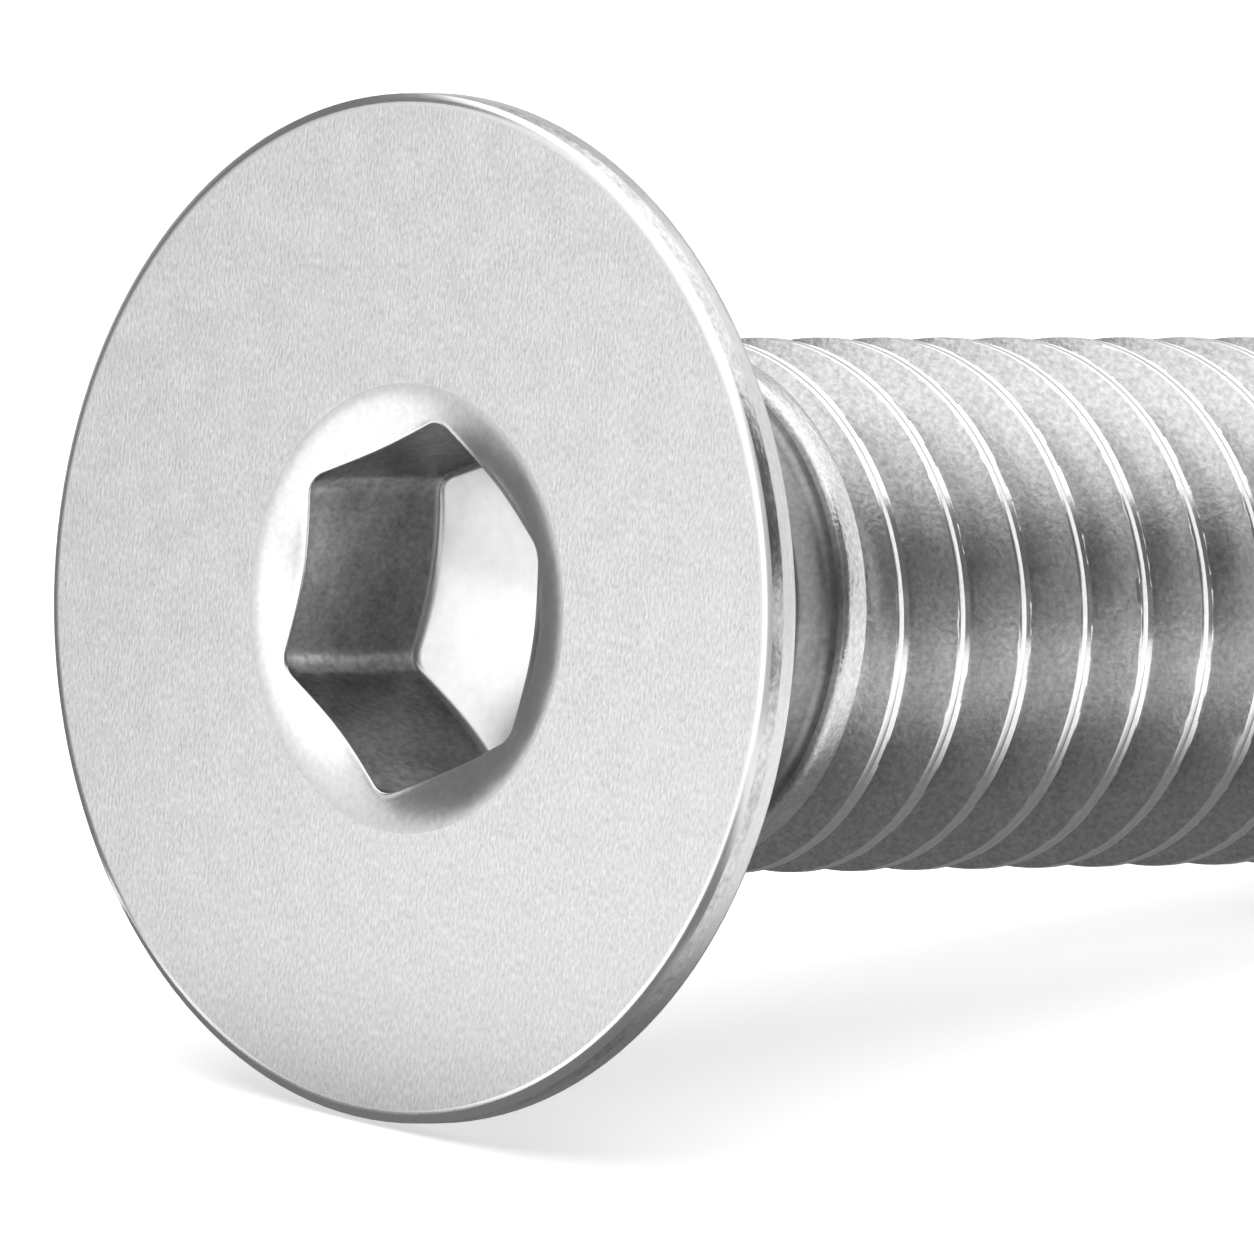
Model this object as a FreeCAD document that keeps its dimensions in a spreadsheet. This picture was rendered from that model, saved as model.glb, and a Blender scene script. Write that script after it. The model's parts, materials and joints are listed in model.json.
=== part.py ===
import FreeCAD, Part
import math
import os
import Sketcher

# A metric countersunk socket screw, M5 x 0.8 by 16 long, cold formed in one piece.
# In the body's own frame the screw's axis is Z, the head's flat face lies in the
# XY plane and the tip of the thread points along +Z. The body is then laid down on
# the edge of its rim and on the last crest of its thread, as it comes to rest on a
# table, with its head towards -X and the middle of its foot at the origin.

# Driving sizes in millimetres and degrees. A depth or a height along the axis is
# measured from the head's flat face, unless its name says otherwise.
DRIVING_SIZES = {
    "screw_length": 16,
    "head_diameter": 9.43,
    "rim_height": 0.33,
    "rim_bevel": 0.08,
    "cone_angle": 90,
    "neck_diameter": 4.45,
    "mouth_diameter": 4.12,
    "mouth_round": 0.975,
    "across_flats": 3.05,
    "socket_depth": 1.85,
    "socket_turn": 3.7,
    "crest_diameter": 4.95,
    "pitch": 0.8,
    "flank_angle": 60,
    "crest_flat": 0.16,
    "root_flat": 0.14,
    "thread_start": 3.5,
    "runout_length": 0.35,
    "runout_turns": 0.75,
    "runout_angle": 38,
    "tip_bevel": 0.54,
}

# How far a cutting outline reaches past the surface that it cuts
CUT_MARGIN = 0.1

# The least volume, in cubic millimetres, that counts as a cut
LEAST_CUT = 0.1

doc = FreeCAD.newDocument("countersunk_socket_screw")


def make_sheet(driving_sizes):
    """The sheet of driving sizes, one named cell each"""
    sheet = doc.addObject("Spreadsheet::Sheet", "Sizes")
    for row, (alias, size) in enumerate(driving_sizes.items(), start=1):
        sheet.set(f"A{row}", alias)
        sheet.set(f"B{row}", str(size))
        sheet.setAlias(f"B{row}", alias)
    doc.recompute()
    return sheet


sizes = make_sheet(DRIVING_SIZES)


def value(expression):
    """What an expression over the sheet comes to"""
    result = sizes.evalExpression(expression)
    return float(getattr(result, "Value", result))


# Expressions that more than one feature uses
HEAD_RADIUS = "Sizes.head_diameter / 2"
NECK_RADIUS = "Sizes.neck_diameter / 2"
CREST_RADIUS = "Sizes.crest_diameter / 2"
MOUTH_RADIUS = "Sizes.mouth_diameter / 2"
SOCKET_CORNER = "Sizes.across_flats / 2 / cos(30 deg)"
CONE_SLOPE = "(Sizes.cone_angle / 2 * 1 deg)"
CONE_END = f"Sizes.rim_height + ({HEAD_RADIUS} - {NECK_RADIUS}) / tan{CONE_SLOPE}"
FACE_RADIUS = f"({HEAD_RADIUS} - Sizes.rim_bevel)"
CREST_END = "(Sizes.screw_length - Sizes.tip_bevel)"

# The last crest ends under the bevel at the foot of the lying screw, and the
# grooves are counted back from there in whole turns
LAST_GROOVE = f"({CREST_END} - (Sizes.crest_flat + Sizes.pitch) / 2)"
FULL_TURNS = f"floor(({LAST_GROOVE} - Sizes.thread_start) / Sizes.pitch)"
FIRST_GROOVE = f"({LAST_GROOVE} - Sizes.pitch * {FULL_TURNS})"

# The lying screw touches the table with the back edge of its rim and with the end of
# its last crest, so its axis sinks towards the tip by the slope of the line through both
TILT = f"atan(({HEAD_RADIUS} - {CREST_RADIUS}) / ({CREST_END} - Sizes.rim_height))"
HEAD_REACH = f"({FACE_RADIUS} * sin({TILT}))"
TIP_RADIUS = f"({CREST_RADIUS} - Sizes.tip_bevel)"
TIP_REACH = f"(Sizes.screw_length * cos({TILT}) + {TIP_RADIUS} * sin({TILT}))"


def make_sketch(body, name, plane_role):
    """A sketch on one of the body's own origin planes"""
    sketch = body.newObject("Sketcher::SketchObject", name)
    plane = next(item for item in body.Origin.OriginFeatures if item.Role == plane_role)
    sketch.AttachmentSupport = [(plane, "")]
    sketch.MapMode = "FlatFace"
    return sketch


def origin_axis(body, role):
    """One of the body's own axes"""
    return next(item for item in body.Origin.OriginFeatures if item.Role == role)


def bind(sketch, constraint, name, expression):
    """Add a constraint and tie its size to the sheet"""
    index = sketch.addConstraint(constraint)
    sketch.renameConstraint(index, name)
    sketch.setExpression(f"Constraints.{name}", expression)


def draw_outline(sketch, corners, arcs):
    """Draw a closed outline through named corners, each held by two expressions

    An arc takes the place of the straight side that starts at the corner it is
    listed under. It is given by its centre and its radius.
    """
    names = list(corners)
    points = {}
    for name, (across, along) in corners.items():
        points[name] = FreeCAD.Vector(value(across), value(along), 0)

    ends = []
    for index, name in enumerate(names):
        start = points[name]
        end = points[names[(index + 1) % len(names)]]
        if name in arcs:
            centre_across, centre_along, radius = arcs[name]
            centre = FreeCAD.Vector(value(centre_across), value(centre_along), 0)
            towards_middle = ((start + end) * 0.5 - centre).normalize()
            middle = centre + towards_middle * value(radius)
            sketch.addGeometry(Part.Arc(start, middle, end))
        else:
            sketch.addGeometry(Part.LineSegment(start, end))
        starts_first = (sketch.getPoint(index, 1) - start).Length < (
            sketch.getPoint(index, 2) - start
        ).Length
        ends.append((1, 2) if starts_first else (2, 1))

    for index, name in enumerate(names):
        following = (index + 1) % len(names)
        joint = Sketcher.Constraint("Coincident", index, ends[index][1], following, ends[following][0])
        sketch.addConstraint(joint)

    for index, name in enumerate(names):
        across, along = corners[name]
        corner = ends[index][0]
        point = points[name]
        held_across = Sketcher.Constraint("DistanceX", -1, 1, index, corner, point.x)
        bind(sketch, held_across, f"{name}_across", across)
        held_along = Sketcher.Constraint("DistanceY", -1, 1, index, corner, point.y)
        bind(sketch, held_along, f"{name}_along", along)
        if name in arcs:
            radius = arcs[name][2]
            held_radius = Sketcher.Constraint("Radius", index, value(radius))
            bind(sketch, held_radius, f"{name}_radius", radius)
    doc.recompute()


def make_blank(body):
    """The forged blank: head, neck and thread cylinder, turned round the axis"""
    sketch = make_sketch(body, "BlankOutline", "XZ_Plane")
    # The outline is drawn on the side that lies uppermost, away from the table
    half_turn = FreeCAD.Rotation(FreeCAD.Vector(0, 1, 0), 180)
    sketch.AttachmentOffset = FreeCAD.Placement(FreeCAD.Vector(), half_turn)
    corners = {
        "recess_centre": ("0", "Sizes.mouth_round"),
        "recess_edge": (f"{MOUTH_RADIUS} - Sizes.mouth_round", "Sizes.mouth_round"),
        "mouth_edge": (MOUTH_RADIUS, "0"),
        "face_edge": (FACE_RADIUS, "0"),
        "rim_front": (HEAD_RADIUS, "Sizes.rim_bevel"),
        "rim_back": (HEAD_RADIUS, "Sizes.rim_height"),
        "cone_end": (NECK_RADIUS, CONE_END),
        "neck_end": (NECK_RADIUS, "Sizes.thread_start - Sizes.runout_length"),
        "crest_start": (CREST_RADIUS, "Sizes.thread_start"),
        "crest_end": (CREST_RADIUS, CREST_END),
        "tip_edge": (TIP_RADIUS, "Sizes.screw_length"),
        "tip_centre": ("0", "Sizes.screw_length"),
    }
    arcs = {
        "recess_edge": (MOUTH_RADIUS, "Sizes.mouth_round", "Sizes.mouth_round"),
    }
    draw_outline(sketch, corners, arcs)
    blank = body.newObject("PartDesign::Revolution", "Blank")
    blank.Profile = sketch
    blank.ReferenceAxis = (sketch, ["V_Axis"])
    blank.Angle = 360
    doc.recompute()
    return blank


def make_socket(body):
    """The forged hexagon, sunk from the dished mouth"""
    sketch = make_sketch(body, "SocketOutline", "XY_Plane")
    reach = value(SOCKET_CORNER)
    turn = math.radians(value("Sizes.socket_turn"))
    sides = 6
    points = []
    for index in range(sides):
        angle = turn + index * math.tau / sides
        points.append(FreeCAD.Vector(reach * math.cos(angle), reach * math.sin(angle), 0))
    for index in range(sides):
        sketch.addGeometry(Part.LineSegment(points[index], points[(index + 1) % sides]))
    centre = FreeCAD.Vector(0, 0, 0)
    upright = FreeCAD.Vector(0, 0, 1)
    circle = sketch.addGeometry(Part.Circle(centre, upright, reach), True)
    spoke = sketch.addGeometry(Part.LineSegment(centre, points[0]), True)
    for index in range(sides):
        following = (index + 1) % sides
        sketch.addConstraint(Sketcher.Constraint("Coincident", index, 2, following, 1))
        sketch.addConstraint(Sketcher.Constraint("PointOnObject", index, 1, circle))
        if index > 0:
            sketch.addConstraint(Sketcher.Constraint("Equal", 0, index))
    sketch.addConstraint(Sketcher.Constraint("Coincident", circle, 3, -1, 1))
    sketch.addConstraint(Sketcher.Constraint("Coincident", spoke, 1, -1, 1))
    sketch.addConstraint(Sketcher.Constraint("Coincident", spoke, 2, 0, 1))
    held_reach = Sketcher.Constraint("Radius", circle, reach)
    bind(sketch, held_reach, "corner_radius", SOCKET_CORNER)
    held_turn = Sketcher.Constraint("Angle", -1, 1, spoke, 1, turn)
    bind(sketch, held_turn, "socket_turn", "Sizes.socket_turn * 1 deg")
    doc.recompute()

    pocket = body.newObject("PartDesign::Pocket", "Socket")
    pocket.Profile = sketch
    pocket.Reversed = True
    pocket.setExpression("Length", "Sizes.socket_depth")
    doc.recompute()
    return pocket


def make_groove_outline(body, name):
    """The thread's groove at the foot of the full thread: two flanks and a flat root"""
    sketch = make_sketch(body, name, "XZ_Plane")
    flank_slope = "(Sizes.flank_angle / 2 * 1 deg)"
    half_width = "(Sizes.pitch - Sizes.crest_flat) / 2"
    half_root = "Sizes.root_flat / 2"
    root = f"{CREST_RADIUS} - ({half_width} - {half_root}) / tan{flank_slope}"
    outside = f"{CREST_RADIUS} + {CUT_MARGIN}"
    half_outside = f"({half_width} + {CUT_MARGIN} * tan{flank_slope})"
    corners = {
        "outside_fore": (outside, f"{FIRST_GROOVE} + {half_outside}"),
        "root_fore": (root, f"{FIRST_GROOVE} + {half_root}"),
        "root_aft": (root, f"{FIRST_GROOVE} - {half_root}"),
        "outside_aft": (outside, f"{FIRST_GROOVE} - {half_outside}"),
    }
    draw_outline(sketch, corners, {})
    return sketch


def make_groove(body, name, sketch, towards_head):
    """One right-hand helical cut round the body's axis"""
    groove = body.newObject("PartDesign::SubtractiveHelix", name)
    groove.Profile = sketch
    groove.ReferenceAxis = (origin_axis(body, "Z_Axis"), [""])
    groove.Mode = "pitch-turns-angle"
    groove.LeftHanded = False
    groove.Reversed = towards_head
    groove.setExpression("Pitch", "Sizes.pitch")
    return groove


def cut_runout(body):
    """Where the thread dies into the neck: the groove climbs out of the metal

    It starts at the foot of the full thread and goes on round towards the head.
    """
    outline = make_groove_outline(body, "RunoutOutline")
    runout = make_groove(body, "Runout", outline, True)
    runout.setExpression("Turns", "Sizes.runout_turns")
    runout.setExpression("Angle", "Sizes.runout_angle * 1 deg")
    doc.recompute()
    return runout


def cut_thread(body):
    """The full thread, from the same outline until its whole width is past the tip"""
    outline = make_groove_outline(body, "GrooveOutline")
    thread = make_groove(body, "Thread", outline, False)
    thread.setExpression("Turns", f"(Sizes.screw_length - {FIRST_GROOVE}) / Sizes.pitch + 1 / 2")
    doc.recompute()
    return thread


def lay_down(body):
    """Rest the screw on its rim and its last crest, and centre its foot"""
    upright_y = FreeCAD.Vector(0, 1, 0)
    body.Placement = FreeCAD.Placement(FreeCAD.Vector(), FreeCAD.Rotation(upright_y, 90))
    body.setExpression("Placement.Rotation.Angle", f"90 deg + {TILT}")
    body.setExpression("Placement.Base.x", f"({HEAD_REACH} - {TIP_REACH}) / 2")
    height = f"{HEAD_RADIUS} * cos({TILT}) + Sizes.rim_height * sin({TILT})"
    body.setExpression("Placement.Base.z", height)
    doc.recompute()


def require_sound(objects):
    """Stop if a feature failed or left a broken shape"""
    for item in objects:
        if "Invalid" in item.State or "Error" in item.State:
            raise ValueError(f"{item.Name} failed: {item.State}")
        if hasattr(item, "Shape") and (item.Shape.isNull() or not item.Shape.isValid()):
            raise ValueError(f"{item.Name} has no sound shape")


def require_cut(before, after):
    """Stop if a cut took nothing away"""
    if before.Shape.Volume - after.Shape.Volume < LEAST_CUT:
        raise ValueError(f"{after.Name} cut nothing")


body = doc.addObject("PartDesign::Body", "Screw")
body.Label = "screw"
blank = make_blank(body)
socket = make_socket(body)
require_cut(blank, socket)
runout = cut_runout(body)
require_cut(socket, runout)
thread = cut_thread(body)
require_cut(runout, thread)
lay_down(body)
require_sound(doc.Objects)

os.makedirs("parts", exist_ok=True)
body.Shape.exportStep(f"parts/{body.Label}.step")
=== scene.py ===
import json
import math
from collections import namedtuple

import bmesh
import bpy
import numpy as np
from mathutils import Matrix, Vector


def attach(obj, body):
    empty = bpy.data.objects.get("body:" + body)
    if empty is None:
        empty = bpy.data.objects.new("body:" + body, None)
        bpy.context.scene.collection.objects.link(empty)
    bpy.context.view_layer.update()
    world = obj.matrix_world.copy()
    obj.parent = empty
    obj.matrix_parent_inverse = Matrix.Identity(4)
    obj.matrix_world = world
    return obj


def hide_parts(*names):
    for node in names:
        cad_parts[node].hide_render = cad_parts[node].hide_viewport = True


bl_info = {
    "name": "Countersunk socket screw",
    "version": (1, 0, 0),
    "blender": (4, 5, 0),
    "location": "3D View > Sidebar > Screw",
    "description": "Dresses a countersunk screw with a hexagon socket",
    "category": "Object",
}

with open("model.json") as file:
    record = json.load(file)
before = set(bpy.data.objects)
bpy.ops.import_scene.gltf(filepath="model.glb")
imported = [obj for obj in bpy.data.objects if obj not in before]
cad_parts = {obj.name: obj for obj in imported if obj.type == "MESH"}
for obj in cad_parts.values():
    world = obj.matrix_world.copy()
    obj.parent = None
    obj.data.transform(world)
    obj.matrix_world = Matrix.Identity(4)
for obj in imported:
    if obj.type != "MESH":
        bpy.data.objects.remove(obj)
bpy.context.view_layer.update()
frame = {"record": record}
MOUNTS = {mount["name"]: mount for mount in frame["record"]["mounts"]}

MM = 0.001
NODE = "screw"

# The screw's own axes in the frame: along the axis from the face to the tip, down to
# the table, and across. TIP is the middle of the plain end.
ALONG = Vector(MOUNTS["thread"]["axis"]).normalized()
ACROSS = Vector((0, 1, 0))
DOWN = ACROSS.cross(ALONG).normalized()
TIP = Vector(MOUNTS["thread"]["pos_m"])

# How finely the piece is divided: columns round the axis, in six equal sets that suit
# the hexagon, and the columns that a rounded corner takes on each side of its middle
COLUMNS = 144
SIDES = 6
PER_SIDE = COLUMNS // SIDES
HALF_SIDE = math.pi / SIDES
CORNER_COLUMNS = 4

# Rows of faces on the dish, the socket's walls, the round at their foot and the cone
DISH_ROWS = 9
WALL_ROWS = 7
FOOT_ROWS = 4
CONE_ROWS = 8
BACK_ROUND_ROWS = 4
NECK_ROUND_ROWS = 5

# The head's cone and the thread's flanks: half their angles, in degrees
CONE_ANGLE = 45
FLANK_ANGLE = 30

# Lengths below which two points count as one place
SAME_PLACE = 1e-7
AT_THE_END = 1e-9
MERGE_DISTANCE = 2e-7
SMALLEST_EDGE = 1e-8

# The finish of each part of the surface: the mottle of its colour, its roughness and
# the change in that, its grain as repeats in a millimetre down, across and along the
# screw, the grain's height in micrometres, and how much the grain shades the colour
Finish = namedtuple("Finish", "mottle rough uneven grain height shade")
FINISHES = {
    "face": Finish(0.07, 0.42, 0.05, (15, 36, 36), 0.9, 0.34),
    "bevel": Finish(0.02, 0.2, 0.03, (6, 6, 6), 0.15, 0.02),
    "rim": Finish(0.3, 0.2, 0.06, (12, 12, 24), 0.9, 0.4),
    "land": Finish(0.06, 0.22, 0.06, (12, 12, 30), 0.3, 0.12),
    "mouth": Finish(0.04, 0.22, 0.04, (14, 14, 36), 0.25, 0.12),
    "lip": Finish(0.05, 0.22, 0.04, (14, 14, 14), 0.3, 0.15),
    "wall": Finish(0.35, 0.33, 0.06, (18, 18, 13), 1.0, 0.5),
    "bottom": Finish(0.05, 0.26, 0.04, (9, 9, 9), 0.2, 0.06),
    "cone": Finish(0.1, 0.36, 0.06, (12, 12, 16), 0.5, 0.16),
    "neck": Finish(0.25, 0.42, 0.06, (16, 16, 14), 0.7, 0.3),
    "rib": Finish(0.1, 0.24, 0.08, (16, 16, 30), 1.6, 0.34),
    "flank": Finish(0.08, 0.3, 0.05, (18, 14, 34), 1.5, 0.42),
    "crest": Finish(0.05, 0.2, 0.05, (12, 12, 20), 0.4, 0.14),
    "tip": Finish(0.1, 0.4, 0.05, (18, 18, 18), 0.6, 0.2),
}
FINISH_NAMES = list(FINISHES)
MICROMETRE = 0.001 * MM

# Noise of the grain and of the mottle: octaves, how rough they are, and the mottle's
# repeats in a millimetre
NOISE_DETAIL = 1.0
GRAIN_ROUGHNESS = 0.65
MOTTLE_ROUGHNESS = 0.6
MOTTLE_SCALE = 2.6

# The faint tint of the mottle's dark and light places
COOL = (0.996, 1.0, 1.004, 1.0)
WARM = (1.004, 1.0, 0.996, 1.0)

# Painted highlight on the socket's upright corners, standing in for the light that their
# rounds catch: how bright it is, from a corner's middle outwards. One corner is brightest,
# the others have this share of it.
CORNER_HIGHLIGHT = (1.0, 1.0, 0.85, 0.4, 0.1, 0.0)
BRIGHTEST_CORNER = 1
OTHER_CORNERS = 0.3
HIGHLIGHT_GAIN = 0.9

# Rings on the face, as shares of the way from the dish to the bevel
FACE_SHARES = (0.0, 0.02, 0.25, 0.5, 0.75, 0.985)

# The bevel's form, with a soft edge to the face and a crease against the rim: place as
# a share of its width and of its depth
BEVEL_FORM = ((-0.06, 0.0), (0.06, 0.03), (0.5, 0.45), (0.88, 0.9), (0.96, 1.0))
CREASE_PLACE = 1.08
CREASE_DEPTH = 0.001 * MM

# The rim's form from its bevel back: place as a share of its height, rise as a share
# of its crown. It leans in towards the face on its front part and is straight behind.
RIM_FORM = (
    (0.05, 0.1),
    (0.3, 0.6),
    (0.46, 0.92),
    (0.5, 0.985),
    (0.54, 1.0),
    (0.7, 1.0),
    (0.9, 1.0),
)
RIM_FRONT = 0.52

# The rib's form: place as a share of its width, height as a share of its rise. Its
# first part is a steep wall, finished as the neck is, and the neck's last ring stands
# NECK_MARGIN before it.
RIB_FORM = (
    (-0.1, 0.0),
    (0.0, 0.02),
    (0.08, 0.1),
    (0.13, 0.25),
    (0.17, 0.5),
    (0.21, 0.75),
    (0.25, 0.88),
    (0.3, 0.95),
    (0.4, 0.975),
    (0.6, 0.99),
    (0.8, 1.0),
    (0.9, 1.0),
    (0.96, 0.985),
    (0.985, 0.94),
    (1.0, 0.84),
)
RIB_WALL = 0.2
NECK_MARGIN = 0.15 * MM

# The lip between the dish and the socket: how far out and how far down, as shares of
# its round
LIP_FORM = ((0.45, 0.12), (0.12, 0.45), (0.0, 1.0))

# Rings on the socket's floor, as shares of the size of the first
FLOOR_SHARES = (0.9, 0.76, 0.62, 0.48, 0.34, 0.22, 0.1)

# Places on a groove: shares of the round at its bottom, and shares of its flank
ROOT_SHARES = (0.0, 0.25, 0.5, 0.75, 0.95)
FLANK_SHARES = (0.3, 0.6, 0.9)

# A crest's form from its head side to its tip side: place as a share of half its
# width, height in millimetres. Rolling folds metal up from both flanks and leaves a
# seam between a broad lip and a narrow one. Faces nearer to its middle than
# CREST_REACH of its width have its finish.
CREST_FORM = (
    (-1.0, -0.018),
    (-0.84, -0.0105),
    (-0.68, -0.0025),
    (-0.58, -0.0005),
    (-0.25, 0.0),
    (0.05, 0.0),
    (0.16, -0.006),
    (0.28, -0.016),
    (0.5, -0.0095),
    (0.66, -0.004),
    (0.76, -0.001),
    (0.88, -0.008),
    (1.0, -0.017),
)
CREST_REACH = 0.52

# How far the surface is rounded over where a crest or a shallow groove begins
CREST_SOFTENING = 0.012 * MM
ROOT_SOFTENING = 0.03 * MM

# The plain end's form: share of its radius and dip in millimetres
TIP_FORM = ((0.97, 0.0), (0.9, 0.0), (0.8, 0.03), (0.6, 0.07), (0.3, 0.09), (0.1, 0.09))

# Edges that turn by less than this, in degrees, are shaded smooth
SMOOTH_BELOW = 40


def length_property(name, description, millimetres):
    return bpy.props.FloatProperty(
        name=name,
        description=description,
        default=millimetres * MM,
        min=0,
        precision=6,
        subtype="DISTANCE",
        unit="LENGTH",
    )


def angle_property(name, description, degrees):
    return bpy.props.FloatProperty(
        name=name,
        description=description,
        default=math.radians(degrees),
        subtype="ANGLE",
        unit="ROTATION",
    )


def colour_property(name, description, grey):
    return bpy.props.FloatVectorProperty(
        name=name,
        description=description,
        default=(grey, grey, grey),
        min=0,
        max=1,
        subtype="COLOR",
    )


class HeadSizes(bpy.types.PropertyGroup):
    """Sizes of the head, its socket and the neck"""

    length: length_property("Length", "From the face to the tip", 16)
    head_radius: length_property("Head radius", "Axis to the rim", 4.715)
    rim_height: length_property("Rim height", "Depth of the rim's cylinder", 0.33)
    bevel_width: length_property("Bevel width", "Bevel of the rim, across the face", 0.08)
    bevel_depth: length_property("Bevel depth", "Bevel of the rim, along the axis", 0.044)
    rim_crown: length_property("Rim crown", "Height of the rim's crown", 0.024)
    back_round: length_property("Back round", "Round behind the rim", 0.05)
    neck_radius: length_property("Neck radius", "Axis to the bare neck", 2.225)
    neck_round: length_property("Neck round", "Round between the cone and the neck", 0.2)
    mouth_radius: length_property("Mouth radius", "Outer edge of the dish", 2.06)
    mouth_round: length_property("Mouth round", "Round of the dish", 0.975)
    half_flats: length_property("Half flats", "Half the width across the flats", 1.525)
    socket_depth: length_property("Socket depth", "From the face to the floor", 1.85)
    corner_round: length_property("Corner round", "Upright corners of the socket", 0.26)
    floor_round: length_property("Floor round", "Foot of the socket's walls", 0.1)
    floor_slope: angle_property("Floor slope", "Slope of the socket's dished floor", 25)
    floor_middle: length_property("Floor middle", "Round in the middle of the floor", 0.4)
    lip_round: length_property("Lip round", "Where the dish meets the socket", 0.03)
    socket_turn: angle_property("Socket turn", "Turn of the hexagon round the axis", 3.7)


class ThreadSizes(bpy.types.PropertyGroup):
    """Sizes of the rolled thread"""

    crest_radius: length_property("Crest radius", "Axis to the crests", 2.475)
    pitch: length_property("Pitch", "From crest to crest", 0.8)
    crest_width: length_property("Crest width", "Width of a crest", 0.16)
    root_round: length_property("Root round", "Round at the bottom of a groove", 0.12)
    first_groove: length_property("First groove", "First full groove, at the foot", 3.78)
    rib_start: length_property("Rib start", "Foot of the rib that ends the neck", 3.2)
    rib_end: length_property("Rib end", "Where the rib stops and grooves start", 3.562)
    rib_radius: length_property("Rib radius", "Axis to the top of the rib", 2.42)
    tip_bevel: length_property("Tip bevel", "Bevel at the end of the thread", 0.54)
    runout_rise: length_property("Run-out rise", "Rise of the groove in one turn", 0.62)


# The steel is one metal, and each grey below was matched to how bright its part looks from the
# camera, so besides the steel's own tone the greys hold painted light and shade: the dark neck,
# which also covers the rib's steep wall, and the dark socket walls are painted shade, and the pale
# crests are painted light.
class SteelColours(bpy.types.PropertyGroup):
    """Colours of the steel, one for each finish"""

    face: colour_property("Face", "Flat ring round the dish", 0.78)
    bevel: colour_property("Bevel", "Between the face and the rim", 0.82)
    rim: colour_property("Rim", "Front part of the rim", 0.62)
    land: colour_property("Land", "Straight back part of the rim", 0.7)
    mouth: colour_property("Mouth", "Dish round the socket", 0.7)
    lip: colour_property("Lip", "Between the dish and the socket", 0.78)
    wall: colour_property("Wall", "Walls of the socket", 0.46)
    bottom: colour_property("Bottom", "Floor of the socket", 0.72)
    cone: colour_property("Cone", "Back of the head", 0.8)
    neck: colour_property("Neck", "Bare neck behind the head", 0.34)
    rib: colour_property("Rib", "Rib at the end of the neck", 0.7)
    flank: colour_property("Flank", "Flanks and roots of the thread", 0.56)
    crest: colour_property("Crest", "Crests of the thread", 0.9)
    tip: colour_property("Tip", "Plain end", 0.55)


def start_clean():
    """Object mode with nothing selected"""
    if bpy.context.object and bpy.context.object.mode != "OBJECT":
        bpy.ops.object.mode_set(mode="OBJECT")
    bpy.ops.object.select_all(action="DESELECT")


def face_middle(head):
    """The middle of the head's face in the frame"""
    return TIP - ALONG * head.length


def arc(centre_r, centre_t, radius, start, end, steps):
    """Points (r, t) on an arc, its angles in degrees from the outward direction"""
    points = []
    for step in range(steps + 1):
        angle = math.radians(start + (end - start) * step / steps)
        points.append((centre_r + radius * math.cos(angle), centre_t + radius * math.sin(angle)))
    return points


def outer_profile(head, neck_end):
    """(r, t, finish) of the turned outline, from the dish over the rim to the neck"""
    face_edge = head.head_radius - head.bevel_width
    points = []
    for share in FACE_SHARES:
        radius = head.mouth_radius + (face_edge - head.mouth_radius) * share
        points.append((radius, 0.0, "face"))
    for across, along in BEVEL_FORM:
        radius = face_edge + head.bevel_width * across
        points.append((radius, head.bevel_depth * along, "bevel"))

    # A round that turns into the cone starts this share of its radius before the corner
    tangent = math.tan(math.radians(CONE_ANGLE / 2))
    land_start = head.bevel_depth * CREASE_PLACE
    back_centre = head.head_radius - head.back_round
    back_t = head.rim_height - head.back_round * tangent
    low = head.head_radius - head.rim_crown
    points.append((low - CREASE_DEPTH, land_start, "bevel"))
    for share, rise in RIM_FORM:
        finish = "rim" if share < RIM_FRONT else "land"
        depth = land_start + (back_t - land_start) * share
        points.append((low + head.rim_crown * rise, depth, finish))
    back = arc(back_centre, back_t, head.back_round, 0, CONE_ANGLE, BACK_ROUND_ROWS)
    points += [(radius, depth, "land") for radius, depth in back]

    fillet_r = head.neck_radius + head.neck_round
    cone_end_t = head.rim_height + head.head_radius - head.neck_radius
    fillet_t = cone_end_t + head.neck_round * tangent
    fillet = arc(fillet_r, fillet_t, head.neck_round, 180 + CONE_ANGLE, 180, NECK_ROUND_ROWS)
    for step in range(1, CONE_ROWS):
        share = step / CONE_ROWS
        radius, depth = (a + (b - a) * share for a, b in zip(back[-1], fillet[0]))
        points.append((radius, depth, "cone"))
    points += [(radius, depth, "neck") for radius, depth in fillet]
    points.append((head.neck_radius, neck_end, "neck"))
    return points


def rib_profile(head, thread):
    """(r, t, finish) of the rib that the rolling pushed up at the end of the neck"""
    rise = thread.rib_radius - head.neck_radius
    width = thread.rib_end - thread.rib_start
    points = []
    for share, height in RIB_FORM:
        finish = "neck" if share < RIB_WALL else "rib"
        points.append((head.neck_radius + rise * height, thread.rib_start + width * share, finish))
    return points


def hexagon_place(column):
    """The corner that a column is nearest to, and how many columns it is past it"""
    side, place = divmod(column + PER_SIDE // 2, PER_SIDE)
    return side, place - PER_SIDE // 2


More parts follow.
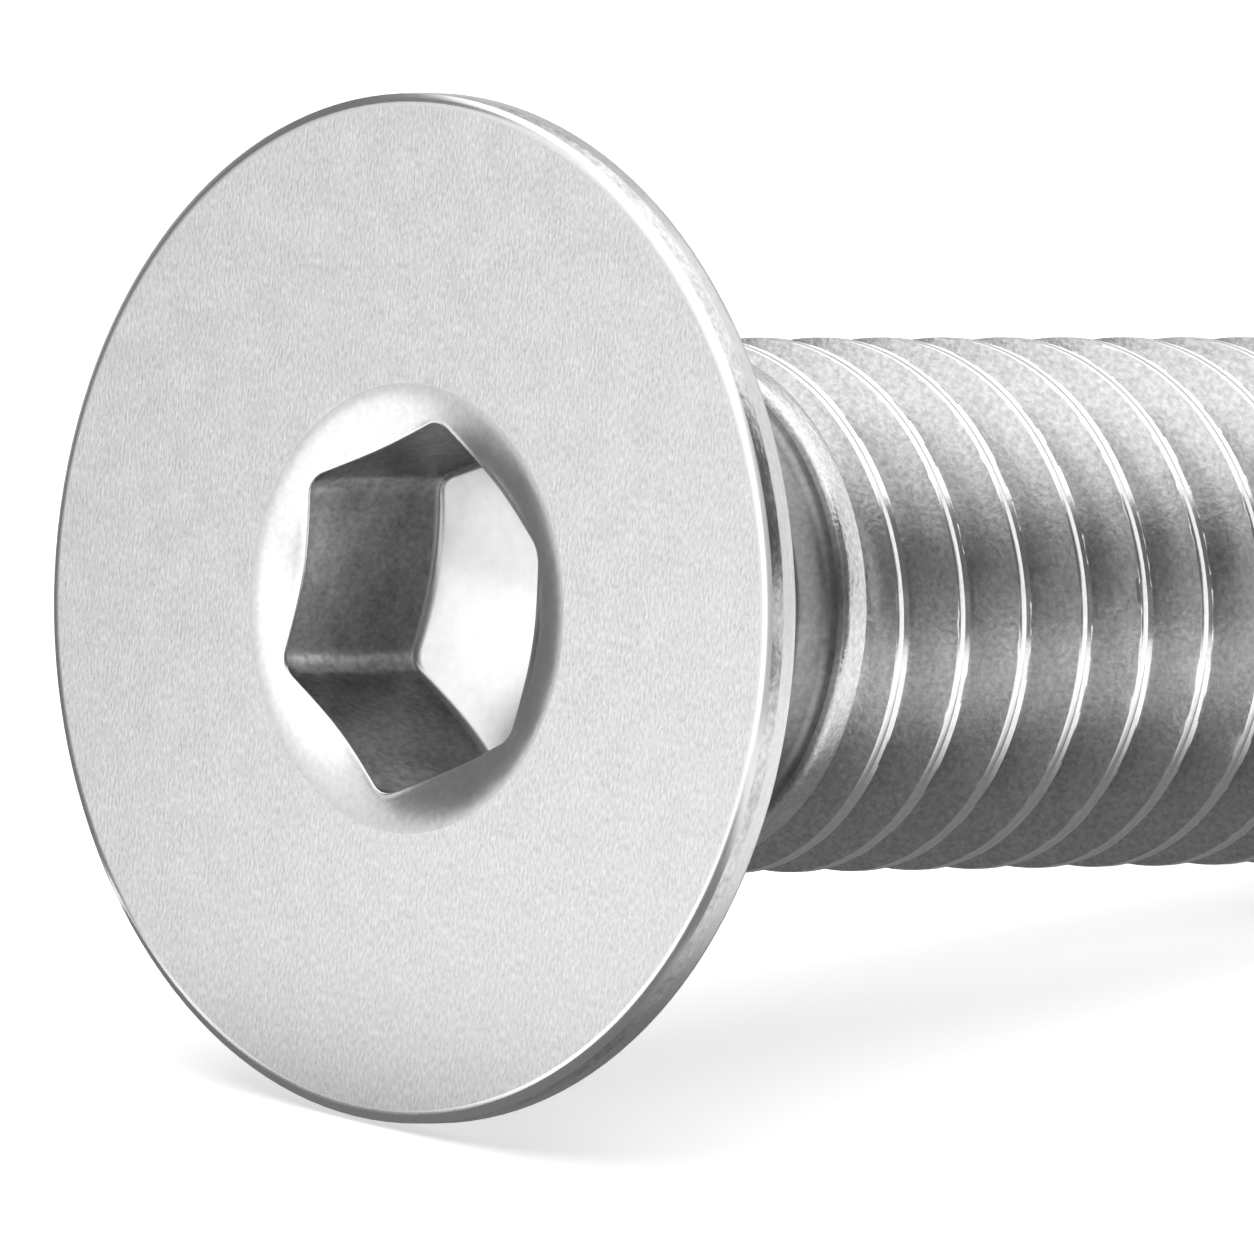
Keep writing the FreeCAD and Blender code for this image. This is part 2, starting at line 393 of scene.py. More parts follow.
def socket_outline(head, offset):
    """One (x, y) for each column on the hexagon, grown by offset, its corners rounded"""
    half = head.half_flats + offset
    rounding = head.corner_round
    reach = (half - rounding) / math.cos(HALF_SIDE)
    along_flat = (half - rounding) * math.tan(HALF_SIDE)
    points = []
    for column in range(COLUMNS):
        side, local = hexagon_place(column)
        corner = head.socket_turn + side * math.tau / SIDES
        if abs(local) <= CORNER_COLUMNS:
            turn = corner + HALF_SIDE * local / CORNER_COLUMNS
            x = reach * math.cos(corner) + rounding * math.cos(turn)
            y = reach * math.sin(corner) + rounding * math.sin(turn)
        else:
            flat = corner + math.copysign(HALF_SIDE, local)
            share = (abs(local) - CORNER_COLUMNS) / (PER_SIDE / 2 - CORNER_COLUMNS)
            slide = -math.copysign(along_flat * (1 - share), local)
            x = half * math.cos(flat) - slide * math.sin(flat)
            y = half * math.sin(flat) + slide * math.cos(flat)
        points.append((x, y))
    return points


def corner_highlights():
    """The painted highlight on the socket's walls for each column, brightest at the corners"""
    worn = []
    for column in range(COLUMNS):
        side, local = hexagon_place(column)
        highlight = CORNER_HIGHLIGHT[min(abs(local), len(CORNER_HIGHLIGHT) - 1)]
        worn.append(highlight if side == BRIGHTEST_CORNER else highlight * OTHER_CORNERS)
    return worn


def mouth_depth(head, radius):
    """Depth of the dish at a distance from the axis"""
    inward = min(max(head.mouth_radius - radius, 0.0), head.mouth_round)
    return head.mouth_round - math.sqrt(head.mouth_round**2 - inward**2)


def floor_depth(head, radius):
    """Depth of the socket's floor, a blunt cone, at a distance from the axis"""
    rise = math.hypot(head.half_flats, head.floor_middle) - math.hypot(radius, head.floor_middle)
    return head.socket_depth + rise * math.tan(head.floor_slope)


def circle_points(radius, depth):
    """One point for each column on a circle round the axis"""
    points = []
    for column in range(COLUMNS):
        angle = math.tau * column / COLUMNS
        points.append((radius * math.cos(angle), radius * math.sin(angle), depth))
    return points


def inner_rings(head):
    """(ring, finish, painted highlight) over the dish, down the socket's walls and in on its floor
    """
    rings = []
    outline = socket_outline(head, head.lip_round)
    for step in range(1, DISH_ROWS + 1):
        share = step / DISH_ROWS
        ring = []
        for edge, lip in zip(circle_points(head.mouth_radius, 0.0), outline):
            x = edge[0] + (lip[0] - edge[0]) * share
            y = edge[1] + (lip[1] - edge[1]) * share
            ring.append((x, y, mouth_depth(head, math.hypot(x, y))))
        rings.append((ring, "mouth", None))
    lip_depths = [point[2] for point in ring]
    for out, down in LIP_FORM:
        ring = []
        for (x, y), depth in zip(socket_outline(head, head.lip_round * out), lip_depths):
            ring.append((x, y, depth + head.lip_round * down))
        rings.append((ring, "lip", None))

    # The walls end on the cone of the floor, higher in the corners than at the flats
    wall = socket_outline(head, 0.0)
    worn = corner_highlights()
    ends = [floor_depth(head, math.hypot(x, y)) - head.floor_round for x, y in wall]
    for step in range(1, WALL_ROWS + 1):
        share = step / WALL_ROWS
        ring = []
        for (x, y), depth, end in zip(wall, lip_depths, ends):
            top = depth + head.lip_round
            ring.append((x, y, top + (end - top) * share))
        rings.append((ring, "wall", worn))
    turned = math.pi / 2 - head.floor_slope
    for step in range(1, FOOT_ROWS + 1):
        turn = turned * step / FOOT_ROWS
        scale = 1 - head.floor_round * (1 - math.cos(turn)) / head.half_flats
        sunk = head.floor_round * math.sin(turn)
        foot = [(x * scale, y * scale, end + sunk) for (x, y), end in zip(wall, ends)]
        rings.append((foot, "bottom", None))
    for share in FLOOR_SHARES:
        ring = []
        for x, y, depth in foot:
            radius = math.hypot(x, y)
            sink = floor_depth(head, radius * share) - floor_depth(head, radius)
            ring.append((x * share, y * share, depth + sink))
        rings.append((ring, "bottom", None))
    return rings


class RingBuilder:
    """Adds ring after ring to an open mesh with the extrude operator"""

    def __init__(self, name, first_ring, finish):
        start_clean()
        bpy.ops.mesh.primitive_circle_add(vertices=COLUMNS, radius=1, fill_type="NOTHING")
        self.piece = bpy.context.object
        self.piece.name = name
        self.number = 0
        bpy.ops.object.mode_set(mode="EDIT")
        mesh = bmesh.from_edit_mesh(self.piece.data)
        column = mesh.verts.layers.int.new("column")
        mesh.verts.layers.int.new("ring")
        mesh.verts.layers.int.new("finish")
        # A painted highlight on the socket's corners, kept for each point
        mesh.verts.layers.float.new("worn")
        for vertex in mesh.verts:
            angle = math.atan2(vertex.co.y, vertex.co.x) % math.tau
            vertex[column] = round(angle / math.tau * COLUMNS) % COLUMNS
        self.place(first_ring, finish)

    def place(self, points, finish, worn=None):
        """Put the selected ring in its place, with its finish and its painted highlight by column
        """
        mesh = bmesh.from_edit_mesh(self.piece.data)
        layers = mesh.verts.layers.int
        highlight = mesh.verts.layers.float["worn"]
        for vertex in mesh.verts:
            if vertex.select:
                column = vertex[layers["column"]]
                vertex.co = points[column]
                vertex[layers["ring"]] = self.number
                vertex[layers["finish"]] = FINISH_NAMES.index(finish)
                vertex[highlight] = worn[column] if worn else 0.0
        bmesh.update_edit_mesh(self.piece.data)
        self.number += 1

    def add(self, points, finish, worn=None):
        """Extrude the selected ring to a new one"""
        bpy.ops.mesh.extrude_region_move()
        self.place(points, finish, worn)

    def close(self):
        """Close the last ring to a point on the axis"""
        bpy.ops.mesh.extrude_region_move()
        bpy.ops.mesh.merge(type="CENTER")

    def select_ring(self, radius, depth):
        """Select the ring that stands at a radius and a depth"""
        bpy.ops.mesh.select_all(action="DESELECT")
        mesh = bmesh.from_edit_mesh(self.piece.data)
        for vertex in mesh.verts:
            at_radius = abs(vertex.co.xy.length - radius) < SAME_PLACE
            vertex.select = at_radius and abs(vertex.co.z - depth) < SAME_PLACE
        mesh.select_flush(True)
        bmesh.update_edit_mesh(self.piece.data)

    def done(self, steels):
        """Leave the mesh and give each face the finish of its later ring"""
        bpy.ops.object.mode_set(mode="OBJECT")
        data = self.piece.data
        for steel in steels:
            data.materials.append(steel)
        rings = data.attributes["ring"].data
        finishes = data.attributes["finish"].data
        for polygon in data.polygons:
            latest = max(polygon.vertices, key=lambda corner: rings[corner].value)
            polygon.material_index = finishes[latest].value
        for name in ("column", "ring", "finish"):
            data.attributes.remove(data.attributes[name])
        return self.piece


def build_head(head, thread, steels):
    """The face, rim, cone, neck and rib, then the dish and the socket, as one shell"""
    outline = outer_profile(head, thread.rib_start - NECK_MARGIN) + rib_profile(head, thread)
    radius, depth, finish = outline[0]
    builder = RingBuilder("screw_head", circle_points(radius, depth), finish)
    for radius, depth, finish in outline[1:]:
        builder.add(circle_points(radius, depth), finish)
    turns = np.arange(COLUMNS) / COLUMNS
    radii = thread_surface(head, thread, turns, np.full(COLUMNS, thread.rib_end))
    circle = circle_points(1.0, thread.rib_end)
    builder.add([(x * r, y * r, t) for (x, y, t), r in zip(circle, radii.tolist())], "rib")
    builder.select_ring(head.mouth_radius, 0.0)
    for ring, finish, worn in inner_rings(head):
        builder.add(ring, finish, worn)
    builder.close()
    return builder.done(steels)


def groove_places(thread):
    """Places along one pitch, from the middle of one groove to the next"""
    half = thread.pitch / 2
    half_crest = thread.crest_width / 2
    root = [share * thread.root_round for share in ROOT_SHARES]
    flank_end = half - half_crest
    flank = [root[-1] + (flank_end - root[-1]) * share for share in FLANK_SHARES]
    crest = [half + share * half_crest for share, height in CREST_FORM]
    falling = [thread.pitch - place for place in reversed(root[1:] + flank)]
    return root + flank + crest + falling + [thread.pitch]


def softened_minimum(first, second, reach):
    """The lower of two heights, rounded over where they cross"""
    gap = np.clip(0.5 + 0.5 * (second - first) / reach, 0, 1)
    return second * (1 - gap) + first * gap - reach * gap * (1 - gap)


def thread_surface(head, thread, turns, t):
    """Radius of the shank at a number of turns past the foot and a depth"""
    crest_end = head.length - thread.tip_bevel
    tip_radius = thread.crest_radius - thread.tip_bevel
    places = [0.0, crest_end, head.length]
    blank = np.interp(t, places, [thread.crest_radius, thread.crest_radius, tip_radius])

    # Distance from the middle of the nearest groove, and how many turns that groove
    # has run since the foot of the full thread
    wound = (t - thread.first_groove) / thread.pitch - turns
    nearest = np.round(wound)
    offset = np.abs(wound - nearest) * thread.pitch
    run = nearest + turns
    lift = np.clip(-run, 0, None) * thread.runout_rise

    slope = math.tan(math.radians(FLANK_ANGLE))
    sharp_root = thread.crest_radius - (thread.pitch - thread.crest_width) / 2 / slope
    flank = sharp_root + offset / slope
    tangent = thread.root_round * math.cos(math.radians(FLANK_ANGLE))
    inside = np.clip(offset, 0, tangent)
    rounded = sharp_root + 2 * thread.root_round - np.sqrt(thread.root_round**2 - inside**2)
    groove = np.where(offset < tangent, rounded, flank)
    raised = sharp_root + thread.root_round + lift
    groove = -softened_minimum(-groove, -raised, ROOT_SOFTENING)

    form_places = [share * thread.crest_width / 2 for share, height in CREST_FORM]
    form_heights = [height * MM for share, height in CREST_FORM]
    from_crest = (wound - np.floor(wound)) * thread.pitch - thread.pitch / 2
    relief = np.interp(from_crest, form_places, form_heights, left=0, right=0)
    return softened_minimum(blank + relief, groove, CREST_SOFTENING)


def wind_groove(thread, start, end):
    """One pitch of the groove as a line of edges, wound along the axis past the end"""
    start_clean()
    bpy.ops.mesh.primitive_plane_add(size=1)
    piece = bpy.context.object
    piece.name = "screw_thread"
    bpy.ops.object.mode_set(mode="EDIT")
    mesh = bmesh.from_edit_mesh(piece.data)
    bmesh.ops.delete(mesh, geom=list(mesh.verts)[1:], context="VERTS")
    for vertex in mesh.verts:
        vertex.co = (thread.crest_radius, 0, start)
        vertex.select = True
    mesh.select_flush(True)
    bmesh.update_edit_mesh(piece.data)
    places = groove_places(thread)
    for before, after in zip(places, places[1:]):
        step = {"value": (0, 0, after - before)}
        bpy.ops.mesh.extrude_region_move(TRANSFORM_OT_translate=step)
    bpy.ops.object.mode_set(mode="OBJECT")
    screw = piece.modifiers.new("Wind", "SCREW")
    screw.axis = "Z"
    screw.angle = math.tau
    screw.screw_offset = thread.pitch
    screw.iterations = math.ceil((end - start) / thread.pitch) + 1
    screw.steps = COLUMNS
    screw.render_steps = COLUMNS
    bpy.ops.object.modifier_apply(modifier=screw.name)
    return piece


def build_thread(head, thread, steels):
    """The wound groove, fitted to the rib and to the tip"""
    start = thread.first_groove - 2 * thread.pitch
    piece = wind_groove(thread, start, head.length)
    flat = np.empty(len(piece.data.vertices) * 3)
    piece.data.vertices.foreach_get("co", flat)
    points = flat.reshape(-1, 3)
    angle = np.arctan2(points[:, 1], points[:, 0]) % math.tau
    turns = np.round(angle / math.tau * COLUMNS) % COLUMNS / COLUMNS
    depth = np.clip(points[:, 2], thread.rib_end, head.length)
    radius = thread_surface(head, thread, turns, depth)
    tip_radius = thread.crest_radius - thread.tip_bevel
    radius = np.where(depth >= head.length - AT_THE_END, tip_radius, radius)
    points[:, 0] = radius * np.cos(turns * math.tau)
    points[:, 1] = radius * np.sin(turns * math.tau)
    points[:, 2] = depth
    piece.data.vertices.foreach_set("co", points.ravel())
    piece.data.update()

    for steel in steels:
        piece.data.materials.append(steel)
    for polygon in piece.data.polygons:
        x, y, t = polygon.center
        wound = (t - thread.first_groove) / thread.pitch - math.atan2(y, x) / math.tau
        from_crest = abs(wound % 1 - 0.5) * thread.pitch
        finish = "crest" if from_crest < thread.crest_width * CREST_REACH else "flank"
        polygon.material_index = FINISH_NAMES.index(finish)
    return piece


def build_tip(head, thread, steels):
    """The plain end: a small round, then a shallow dished face"""
    radius = thread.crest_radius - thread.tip_bevel
    builder = RingBuilder("screw_tip", circle_points(radius, head.length), "tip")
    for share, dip in TIP_FORM:
        builder.add(circle_points(radius * share, head.length - dip * MM), "tip")
    builder.close()
    return builder.done(steels)


def join_pieces(pieces, name):
    """Join pieces into one and close the seams between them"""
    start_clean()
    for piece in pieces:
        piece.select_set(True)
    bpy.context.view_layer.objects.active = pieces[0]
    bpy.ops.object.join()
    whole = bpy.context.object
    whole.name = name
    whole.data.name = name
    bpy.ops.object.mode_set(mode="EDIT")
    bpy.ops.mesh.select_all(action="SELECT")
    bpy.ops.mesh.remove_doubles(threshold=MERGE_DISTANCE)
    bpy.ops.mesh.dissolve_degenerate(threshold=SMALLEST_EDGE)
    bpy.ops.mesh.normals_make_consistent(inside=False)
    bpy.ops.object.mode_set(mode="OBJECT")
    return whole


class Value:
    """A shader socket, so that maths on it reads as Python and adds its nodes"""

    def __init__(self, graph, socket):
        self.graph = graph
        self.socket = socket

    def calculate(self, operation, *others):
        """Add a Math node for this value and the others"""
        inputs = dict(enumerate((self,) + others))
        return self.graph.add("ShaderNodeMath", {"operation": operation}, inputs)

    def __add__(self, other):
        return self.calculate("ADD", other)

    __radd__ = __add__

    def __sub__(self, other):
        return self.calculate("SUBTRACT", other)

    def __rsub__(self, other):
        return self.graph.add("ShaderNodeMath", {"operation": "SUBTRACT"}, {0: other, 1: self})

    def __mul__(self, other):
        return self.calculate("MULTIPLY", other)

    __rmul__ = __mul__

    def greater(self, other):
        """The greater of two values"""
        return self.calculate("MAXIMUM", other)

    def rise(self, start, end):
        """0 below start and 1 above end, smooth between"""
        settings = {"interpolation_type": "SMOOTHSTEP"}
        inputs = {"Value": self, "From Min": start, "From Max": end}
        return self.graph.add("ShaderNodeMapRange", settings, inputs)


class Graph:
    """The nodes of a new material, or of the world"""

    def __init__(self, owner):
        owner.use_nodes = True
        self.nodes = owner.node_tree.nodes
        self.links = owner.node_tree.links
        self.nodes.clear()

    def node(self, kind, settings=None, inputs=None):
        """Add a node, set its settings, then its sockets to values or links"""
        node = self.nodes.new(kind)
        for name, setting in (settings or {}).items():
            setattr(node, name, setting)
        for name, given in (inputs or {}).items():
            if isinstance(given, Value):
                self.links.new(given.socket, node.inputs[name])
            else:
                node.inputs[name].default_value = given
        return node

    def add(self, kind, settings=None, inputs=None, output=0):
        """Add a node and give one of its outputs"""
        return Value(self, self.node(kind, settings, inputs).outputs[output])

    def combine(self, x, y, z):
        """A vector of three values"""
        return self.add("ShaderNodeCombineXYZ", None, {"X": x, "Y": y, "Z": z})

    def vector(self, operation, first, second, output=0):
        """Vector maths on two vectors"""
        settings = {"operation": operation}
        return self.add("ShaderNodeVectorMath", settings, {0: first, 1: second}, output)

    def colours(self, blend, factor, first, second):
        """Two colours in one Mix node"""
        settings = {"data_type": "RGBA", "blend_type": blend}
        return self.add("ShaderNodeMix", settings, {0: factor, 6: first, 7: second}, 2)

    def along(self, position, direction):
        """Distance in millimetres of a position along a direction"""
        scaled = tuple(component / MM for component in direction)
        return self.vector("DOT_PRODUCT", position, scaled, "Value")

    def here(self):
        """The place on the surface, in metres"""
        return self.add("ShaderNodeTexCoord", output="Object")

    def ray(self, kind):
        """1 for rays of one kind, such as Is Camera Ray"""
        return self.add("ShaderNodeLightPath", output=kind)

    def noise(self, vector, scale, roughness):
        """Noise about 0, from -1 to 1"""
        inputs = {"Vector": vector, "Scale": scale, "Detail": NOISE_DETAIL, "Roughness": roughness}
        return self.add("ShaderNodeTexNoise", None, inputs) * 2 - 1


def mix(mask, without, within):
    """without where the mask is 0, within where it is 1"""
    return mask * within + (1 - mask) * without


def make_steel(name, finish, colour, face):
    """Stainless steel with one of the finishes, its pattern measured from the face"""
    material = bpy.data.materials.new(f"steel_{name}")
    graph = Graph(material)
    offset = graph.vector("SUBTRACT", graph.here(), tuple(face))
    x, y, t = (graph.along(offset, axis) for axis in (DOWN, ACROSS, ALONG))
    down, across, along = finish.grain
    stretched = graph.combine(x * down, y * across, t * along)
    grain = graph.noise(stretched, 1.0, GRAIN_ROUGHNESS)
    mottle = graph.noise(graph.combine(x, y, t), MOTTLE_SCALE, MOTTLE_ROUGHNESS)
    worn = graph.add("ShaderNodeAttribute", {"attribute_name": "worn"}, output="Fac")

    # The last factor lightens the socket's corners with a painted highlight
    shade = (1 + mottle * finish.mottle + grain * finish.shade) * (1 + worn * HIGHLIGHT_GAIN)
    tint = graph.colours("MIX", mottle * 0.5 + 0.5, COOL, WARM)
    steel = graph.colours("MULTIPLY", 1.0, tint, tuple(colour) + (1.0,))
    bump = {"Strength": 1.0, "Distance": finish.height * MICROMETRE, "Height": grain}
    inputs = {
        "Base Color": graph.colours("MULTIPLY", 1.0, steel, shade),
        "Metallic": 1.0,
        "Roughness": finish.rough + mottle * finish.uneven,
        "Normal": graph.add("ShaderNodeBump", None, bump),
    }
    shader = graph.add("ShaderNodeBsdfPrincipled", None, inputs)
    graph.node("ShaderNodeOutputMaterial", None, {"Surface": shader})
    return material


class SCREW_OT_piece(bpy.types.Operator):
    """Make the screw: head, socket, neck and rolled thread in one piece"""

    bl_idname = "screw.piece"
    bl_label = "Screw"

    def execute(self, context):
        head = context.scene.screw_head
        thread = context.scene.screw_thread
        colours = context.scene.screw_colours
        face = face_middle(head)
        steels = []
        for name, finish in FINISHES.items():
            steels.append(make_steel(name, finish, getattr(colours, name), face))
        parts = [build(head, thread, steels) for build in (build_head, build_thread, build_tip)]
        screw = join_pieces(parts, "countersunk_screw")
        placement = Matrix((DOWN, ACROSS, ALONG)).transposed().to_4x4()
        placement.translation = face
        screw.data.transform(placement)
        start_clean()
        screw.select_set(True)
        context.view_layer.objects.active = screw
        bpy.ops.object.shade_smooth_by_angle(angle=math.radians(SMOOTH_BELOW))
        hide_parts(NODE)
        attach(screw, "root")
        return {"FINISHED"}


# The photograph's camera: azimuth and elevation in degrees, its distance from the
# middle of the face, its lens and sensor in millimetres, the nearest that it sees in
# metres, and how far the picture's middle lies from the middle of the face
CAMERA_AZIMUTH = -43.592
CAMERA_ELEVATION = 12.576
CAMERA_DISTANCE = 291.04 * MM
CAMERA_LENS = 913.8
CAMERA_SENSOR = 36
CAMERA_CLIP = 0.01
AIM_RIGHT = 2.0225 * MM
AIM_UP = -0.1728 * MM

# The floor's size in metres, how much of its white is its own, to the camera and in
# the metal, how much light it gives back, and how bright the room is for what it lights
FLOOR_SIZE = 1.2
FLOOR_GLOW = 0.6
FLOOR_SEEN = 0.42
FLOOR_WHITE = 0.8
ROOM_LEVEL = 0.1

# Cards that the metal reflects: azimuth from and to, elevation from and to, in degrees
# as seen from the middle of the head, and brightness. Below the horizon a card runs on
# over the floor towards the screw.
CARDS = {
    "key_card": (148, 192, -2, 45, 1.6),
    "face_card": (134, 147, 2, 32, 1.1),
    "back_card": (88, 133, -30, 38, 0.2),
    "far_card": (52, 87.5, -30, 38, 0.4),
    "right_card": (-8, 51, -8, 38, 0.65),
    "left_card": (193, 213, -3, 44, 0.5),
    "camera_card": (214, 308, 9, 44, 0.12),
    "near_card": (214, 286, -8, 8.5, 0.15),
    "upper_card": (-50, 147, 38.5, 45, 1.45),
    "top_card": (0, 360, 45, 82, 1.45),
}
CARD_ROWS = 24

# A card's distance, the height that its elevations are measured from, and its lowest
# point, in millimetres
CARD_DISTANCE = 300
CARD_HEIGHT = 4.5
CARD_LOWEST = 0.05

# The lamp that casts the shadow, facing down: place and size in millimetres, and power
# in watts
LAMP_PLACE = (-6, 10, 250)
LAMP_SIZE = 440
LAMP_POWER = 0.85

# Narrow beams from beside the thread that lighten its shadow: place and the point they
# aim at in millimetres, and power in watts, then their angle in degrees and the size
# of their source
BEAMS = {
    "near_beam": ((18, -16, 9), (7, 1, 0), 0.026),
    "far_beam": ((20, 16, 9), (7, 0, 0), 0.022),
}
BEAM_ANGLE = 44
BEAM_SOFTNESS = 5 * MM

# Mats on the floor that change how white it is in the metal, under the screw, beside
# its head, and behind and before its face: corners in millimetres, from where to where
# across the screw they change from the floor's white, and their own brightness. The dark
# mats under the screw and beside its head are painted shadow: they stand for the shade
# that the screw and its head cast on the floor, as the metal sees it.
MATS = {
    # Painted shadow of the screw on the floor, seen only in the metal
    "under_mat": (((-12, -7), (14, -7), (14, 7), (-12, 7)), (-6.5, -3.2), 0.2),
    # Painted shadow of the head on the floor, seen only in the metal
    "side_mat": (((-32, -9), (-12, -9), (-12, -1.5), (-32, -1.5)), (-9.0, -6.0), 0.2),
    "far_mat": (((-12, 8.5), (0, 8.5), (-30, 66), (-62, 55)), (8.0, 9.0), 0.14),
    "front_mat": (((-70, -1), (-12.5, -1), (-12.5, 8), (-62.5, 54)), (-1.0, 4.0), 1.5),
}
MAT_ROWS = 4
MAT_HEIGHT = 0.01


def only_reflected(card, brightness, fade=None):
    """Make a card glow, fading in from white, and show it to the reflections alone"""
    material = bpy.data.materials.new(card.name)
    graph = Graph(material)
    if fade:
        brightness = mix(graph.along(graph.here(), ACROSS).rise(*fade), 1.0, brightness)
    shader = graph.add("ShaderNodeEmission", None, {"Strength": brightness})
    graph.node("ShaderNodeOutputMaterial", None, {"Surface": shader})
    card.data.materials.append(material)
    card.visible_camera = False
    card.visible_diffuse = False
    card.visible_shadow = False
    card.visible_transmission = False


def add_grid(name, rows, place):
    """A grid with each point put where place says, from its two shares of the way"""
    start_clean()
    bpy.ops.mesh.primitive_grid_add(x_subdivisions=rows, y_subdivisions=rows, size=1)
    grid = bpy.context.object
    grid.name = name
    for vertex in grid.data.vertices:
        vertex.co = place(vertex.co.x + 0.5, vertex.co.y + 0.5)
    return grid


def add_card(name, left, right, low, high, brightness):
    """A curved card round the screw"""

    def place(across, up):
        azimuth = math.radians(left + (right - left) * across)
        elevation = math.radians(low + (high - low) * up)
        level = CARD_DISTANCE * math.cos(elevation)
        height = CARD_HEIGHT + CARD_DISTANCE * math.sin(elevation)
        if height < CARD_LOWEST:
            height = CARD_LOWEST
            level = min(level, (CARD_HEIGHT - height) / math.tan(-elevation))
        return Vector((level * math.cos(azimuth), level * math.sin(azimuth), height)) * MM

    only_reflected(add_grid(name, CARD_ROWS, place), brightness)


def add_mat(name, corners, fade, brightness):
    """A mat on the floor, as white as it on one side"""
    corners = [Vector(corner + (MAT_HEIGHT,)) * MM for corner in corners]
    near_left, near_right, far_right, far_left = corners

    def place(across, up):
        return near_left.lerp(near_right, across).lerp(far_left.lerp(far_right, across), up)

    only_reflected(add_grid(name, MAT_ROWS, place), brightness, fade)


def hide_lamp(lamp, name):
    """Name a lamp and keep it out of the picture and the metal"""
    lamp.name = name
    lamp.visible_glossy = False
    lamp.visible_camera = False


def add_lamp(name, place, size, power):
    """A wide lamp that faces down"""
    start_clean()
    bpy.ops.object.light_add(type="AREA", location=[length * MM for length in place])
    lamp = bpy.context.object
    lamp.data.shape = "DISK"
    lamp.data.size = size * MM
    lamp.data.energy = power
    hide_lamp(lamp, name)


def add_beam(name, place, target, power):
    """A narrow soft beam on the floor"""
    start_clean()
    place = Vector(place) * MM
    bpy.ops.object.light_add(type="SPOT", location=place)
    beam = bpy.context.object
    beam.rotation_euler = (Vector(target) * MM - place).to_track_quat("-Z", "Y").to_euler()
    beam.data.spot_size = math.radians(BEAM_ANGLE)
    beam.data.spot_blend = 1.0
    beam.data.shadow_soft_size = BEAM_SOFTNESS
    beam.data.energy = power
    hide_lamp(beam, name)


def add_floor():
    """A pale floor, white to the camera and a little darker in the metal"""
    start_clean()
    bpy.ops.mesh.primitive_plane_add(size=FLOOR_SIZE, location=(0, 0, 0))
    floor = bpy.context.object
    floor.name = "floor"
    bpy.ops.object.transform_apply(location=True, rotation=True, scale=True)
    material = bpy.data.materials.new("Pale floor")
    graph = Graph(material)
    seen = graph.ray("Is Glossy Ray") + graph.ray("Is Transmission Ray")
    glow = graph.ray("Is Camera Ray") * FLOOR_GLOW + seen * FLOOR_SEEN
    white = (FLOOR_WHITE, FLOOR_WHITE, FLOOR_WHITE, 1)
    diffuse = graph.add("ShaderNodeBsdfDiffuse", None, {"Color": white})
    emission = graph.add("ShaderNodeEmission", None, {"Strength": glow})
    shader = graph.add("ShaderNodeAddShader", None, {0: diffuse, 1: emission})
    graph.node("ShaderNodeOutputMaterial", None, {"Surface": shader})
    floor.data.materials.append(material)


def add_room(scene):
    """A room that is white to look at and dim as a light"""
    world = bpy.data.worlds.new("Studio")
    scene.world = world
    graph = Graph(world)
    seen = graph.ray("Is Camera Ray").greater(graph.ray("Is Glossy Ray"))
    seen = seen.greater(graph.ray("Is Transmission Ray"))
    inputs = {"Color": (1, 1, 1, 1), "Strength": mix(seen, ROOM_LEVEL, 1.0)}
    background = graph.add("ShaderNodeBackground", None, inputs)
    graph.node("ShaderNodeOutputWorld", None, {"Surface": background})


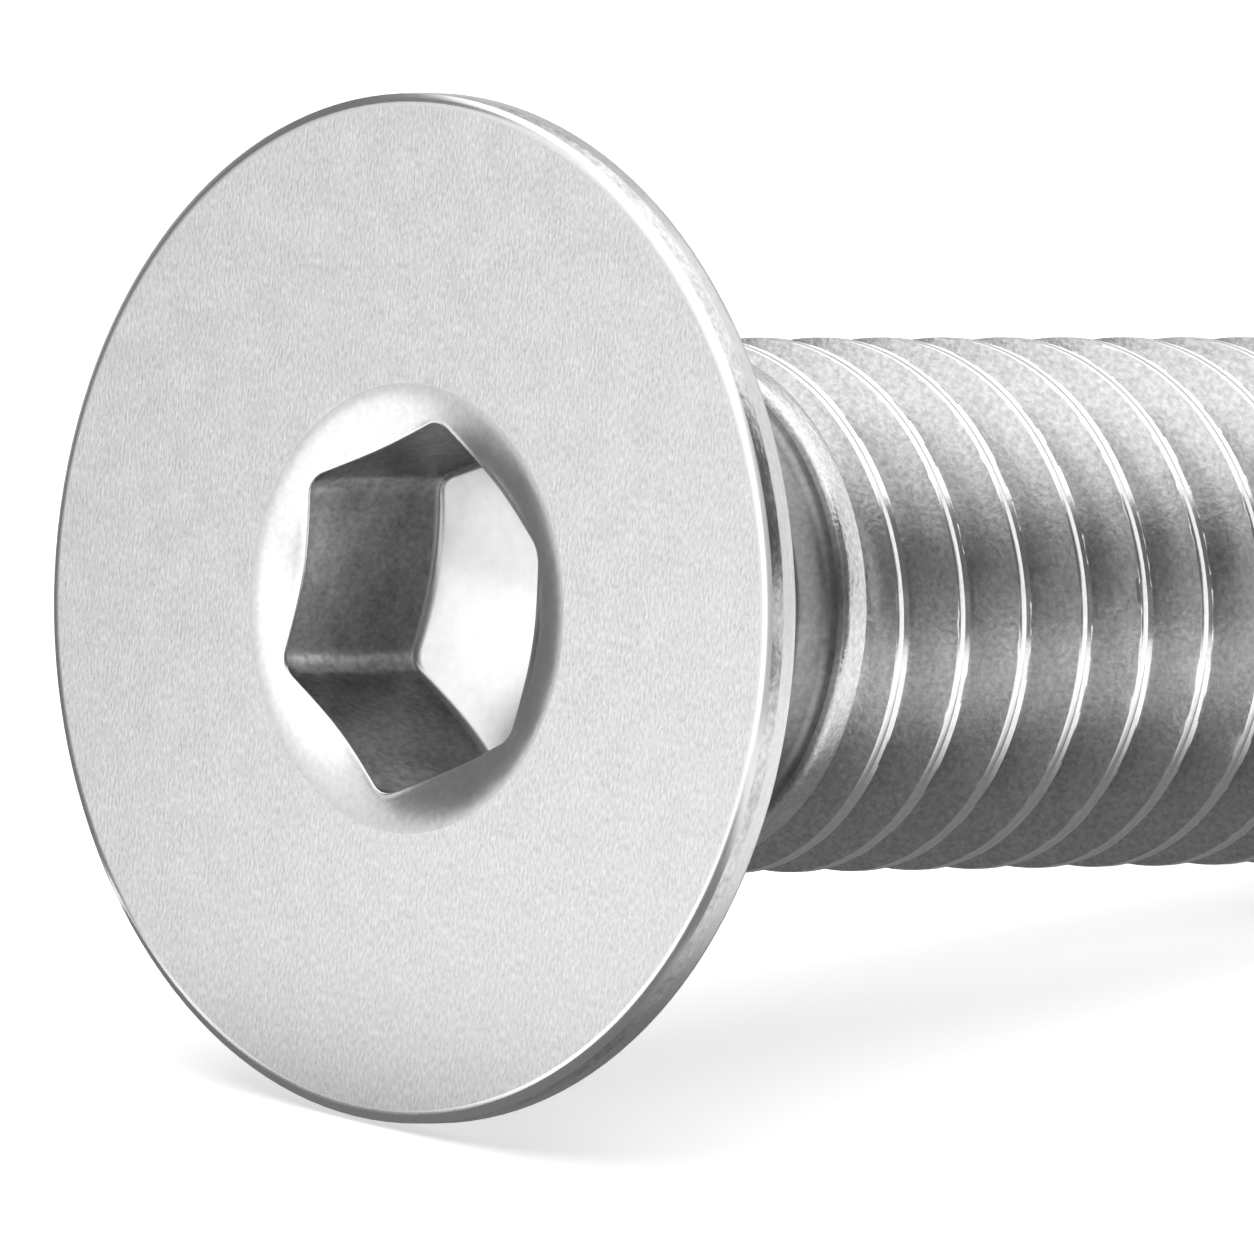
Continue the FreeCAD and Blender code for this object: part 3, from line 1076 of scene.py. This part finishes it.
def add_camera(scene):
    """The camera at the photograph's viewing angle"""
    azimuth = math.radians(CAMERA_AZIMUTH)
    elevation = math.radians(CAMERA_ELEVATION)
    forward = Vector((
        -math.sin(azimuth) * math.cos(elevation),
        math.cos(azimuth) * math.cos(elevation),
        -math.sin(elevation),
    ))
    right = Vector((math.cos(azimuth), math.sin(azimuth), 0))
    face = face_middle(scene.screw_head)
    position = face - forward * CAMERA_DISTANCE
    aim = face + right * AIM_RIGHT + right.cross(forward) * AIM_UP
    bpy.ops.object.camera_add(location=position)
    camera = bpy.context.object
    camera.name = "Photograph's view"
    camera.rotation_euler = (aim - position).to_track_quat("-Z", "Y").to_euler()
    camera.data.lens = CAMERA_LENS
    camera.data.sensor_width = CAMERA_SENSOR
    camera.data.clip_start = CAMERA_CLIP
    scene.camera = camera


class SCREW_OT_stage(bpy.types.Operator):
    """Set the floor, the room, the lamps, the cards and the camera"""

    bl_idname = "screw.stage"
    bl_label = "Stage"

    def execute(self, context):
        add_floor()
        add_room(context.scene)
        add_lamp("overhead_lamp", LAMP_PLACE, LAMP_SIZE, LAMP_POWER)
        for name, beam in BEAMS.items():
            add_beam(name, *beam)
        for name, mat in MATS.items():
            add_mat(name, *mat)
        for name, card in CARDS.items():
            add_card(name, *card)
        add_camera(context.scene)
        context.scene.view_settings.view_transform = "Standard"
        return {"FINISHED"}


class SCREW_PT_panel(bpy.types.Panel):
    """Lists the sizes, the colours and the steps that make the screw"""

    bl_label = "Countersunk screw"
    bl_idname = "SCREW_PT_panel"
    bl_space_type = "VIEW_3D"
    bl_region_type = "UI"
    bl_category = "Screw"

    def draw(self, context):
        layout = self.layout
        for group_name, group in GROUPS.items():
            for name in group.__annotations__:
                layout.prop(getattr(context.scene, group_name), name)
        for operator in OPERATORS:
            layout.operator(operator.bl_idname)


GROUPS = {
    "screw_head": HeadSizes,
    "screw_thread": ThreadSizes,
    "screw_colours": SteelColours,
}
OPERATORS = (SCREW_OT_piece, SCREW_OT_stage)
CLASSES = tuple(GROUPS.values()) + OPERATORS + (SCREW_PT_panel,)


def register():
    for cls in CLASSES:
        bpy.utils.register_class(cls)
    for name, group in GROUPS.items():
        setattr(bpy.types.Scene, name, bpy.props.PointerProperty(type=group))


def unregister():
    for name in GROUPS:
        delattr(bpy.types.Scene, name)
    for cls in reversed(CLASSES):
        bpy.utils.unregister_class(cls)


def main():
    register()
    bpy.ops.screw.piece()
    bpy.ops.screw.stage()


if __name__ == "__main__":
    main()
